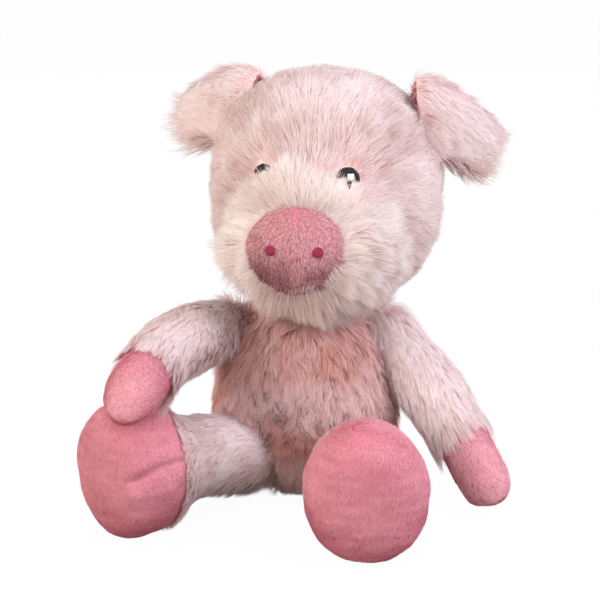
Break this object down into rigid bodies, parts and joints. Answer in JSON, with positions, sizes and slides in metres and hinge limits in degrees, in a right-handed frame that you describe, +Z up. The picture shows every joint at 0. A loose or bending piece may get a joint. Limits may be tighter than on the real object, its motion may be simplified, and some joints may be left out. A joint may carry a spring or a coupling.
{
  "type": "plush pig",
  "caption": "Seated plush pig with a long pale fur body and head, short pink pile snout, mitts and feet, folded ears, a curled tail and limbs that swing at their seams.",
  "frame": {"origin": "on the floor under the middle of the seated toy's bounding box", "axes": "+Z up, -Y the way the toy's body faces, +X towards its left"},
  "size_m": [0.23, 0.1852, 0.2306],
  "materials": {
    "long_fur": "long pale pink pile fur",
    "ruff_fur": "long near-white pile fur",
    "short_pile": "short brushed pink pile",
    "ear_lining": "short dusky pink pile",
    "stuffing": "loose white polyester fibre",
    "pouch_cloth": "plain woven inner cloth",
    "nostril_thread": "satin stitched thread",
    "eye_thread": "satin stitched thread"
  },
  "bodies": {
    "torso": {"torso_skin": "long_fur", "torso_stuffing": "stuffing", "pellet_pouch": "pouch_cloth"},
    "neck": {"neck_roll": "ruff_fur"},
    "head": {"head_skin": "long_fur", "head_stuffing": "stuffing", "muzzle_panel": "ruff_fur", "muzzle_stuffing": "stuffing", "snout_skin": "short_pile", "snout_stuffing": "stuffing", "eye_left": "eye_thread", "nostril_left": "nostril_thread", "eye_right": "eye_thread", "nostril_right": "nostril_thread"},
    "ear_left": {"ear_left_fur": "long_fur", "ear_left_lining": "ear_lining"},
    "ear_right": {"ear_right_fur": "long_fur", "ear_right_lining": "ear_lining"},
    "arm_left": {"arm_left_sleeve": "long_fur", "arm_left_mitt": "short_pile", "arm_left_stuffing": "stuffing"},
    "arm_right": {"arm_right_sleeve": "long_fur", "arm_right_mitt": "short_pile", "arm_right_stuffing": "stuffing"},
    "leg_left": {"leg_left_sleeve": "long_fur", "foot_left_upper": "short_pile", "foot_left_sole": "short_pile", "leg_left_stuffing": "stuffing"},
    "leg_right": {"leg_right_sleeve": "long_fur", "foot_right_upper": "short_pile", "foot_right_sole": "short_pile", "leg_right_stuffing": "stuffing"},
    "tail": {"tail": "short_pile"}
  },
  "joints": [
    {"name": "neck_turn", "type": "hinge", "parent": "torso", "child": "neck", "pos_m": [0.00738, 0.03772, 0.117], "axis": [0, 0, 1], "range_deg": [-25, 25]},
    {"name": "head_nod", "type": "hinge", "parent": "neck", "child": "head", "pos_m": [0.00738, 0.03772, 0.117], "axis": [-0.9703, 0.2419, 0], "range_deg": [-12, 15]},
    {"name": "ear_left_flap", "type": "hinge", "parent": "head", "child": "ear_left", "pos_m": [0.06485, 0.04091, 0.1975], "axis": [0.3753, 0.1839, -0.9085], "range_deg": [-18, 0]},
    {"name": "ear_right_flap", "type": "hinge", "parent": "head", "child": "ear_right", "pos_m": [-0.02587, 0.06353, 0.1975], "axis": [-0.245, 0.3385, -0.9085], "range_deg": [0, 18]},
    {"name": "shoulder_left", "type": "hinge", "parent": "torso", "child": "arm_left", "pos_m": [0.04691, 0.03527, 0.09], "axis": [-1, 0, 0], "range_deg": [-20, 75]},
    {"name": "shoulder_right", "type": "hinge", "parent": "torso", "child": "arm_right", "pos_m": [-0.03816, 0.03527, 0.09], "axis": [-1, 0, 0], "range_deg": [0, 45]},
    {"name": "hip_left", "type": "hinge", "parent": "torso", "child": "leg_left", "pos_m": [0.03013, 0.00527, 0.026], "axis": [-0.9986, -0.0523, 0], "range_deg": [-30, 8]},
    {"name": "hip_right", "type": "hinge", "parent": "torso", "child": "leg_right", "pos_m": [-0.02767, 0.01062, 0.026], "axis": [-0.6428, 0.766, 0], "range_deg": [-30, 0]},
    {"name": "tail_flick", "type": "hinge", "parent": "torso", "child": "tail", "pos_m": [0.00438, 0.07712, 0.034], "axis": [0, 0, 1], "range_deg": [-20, 20]}
  ]
}
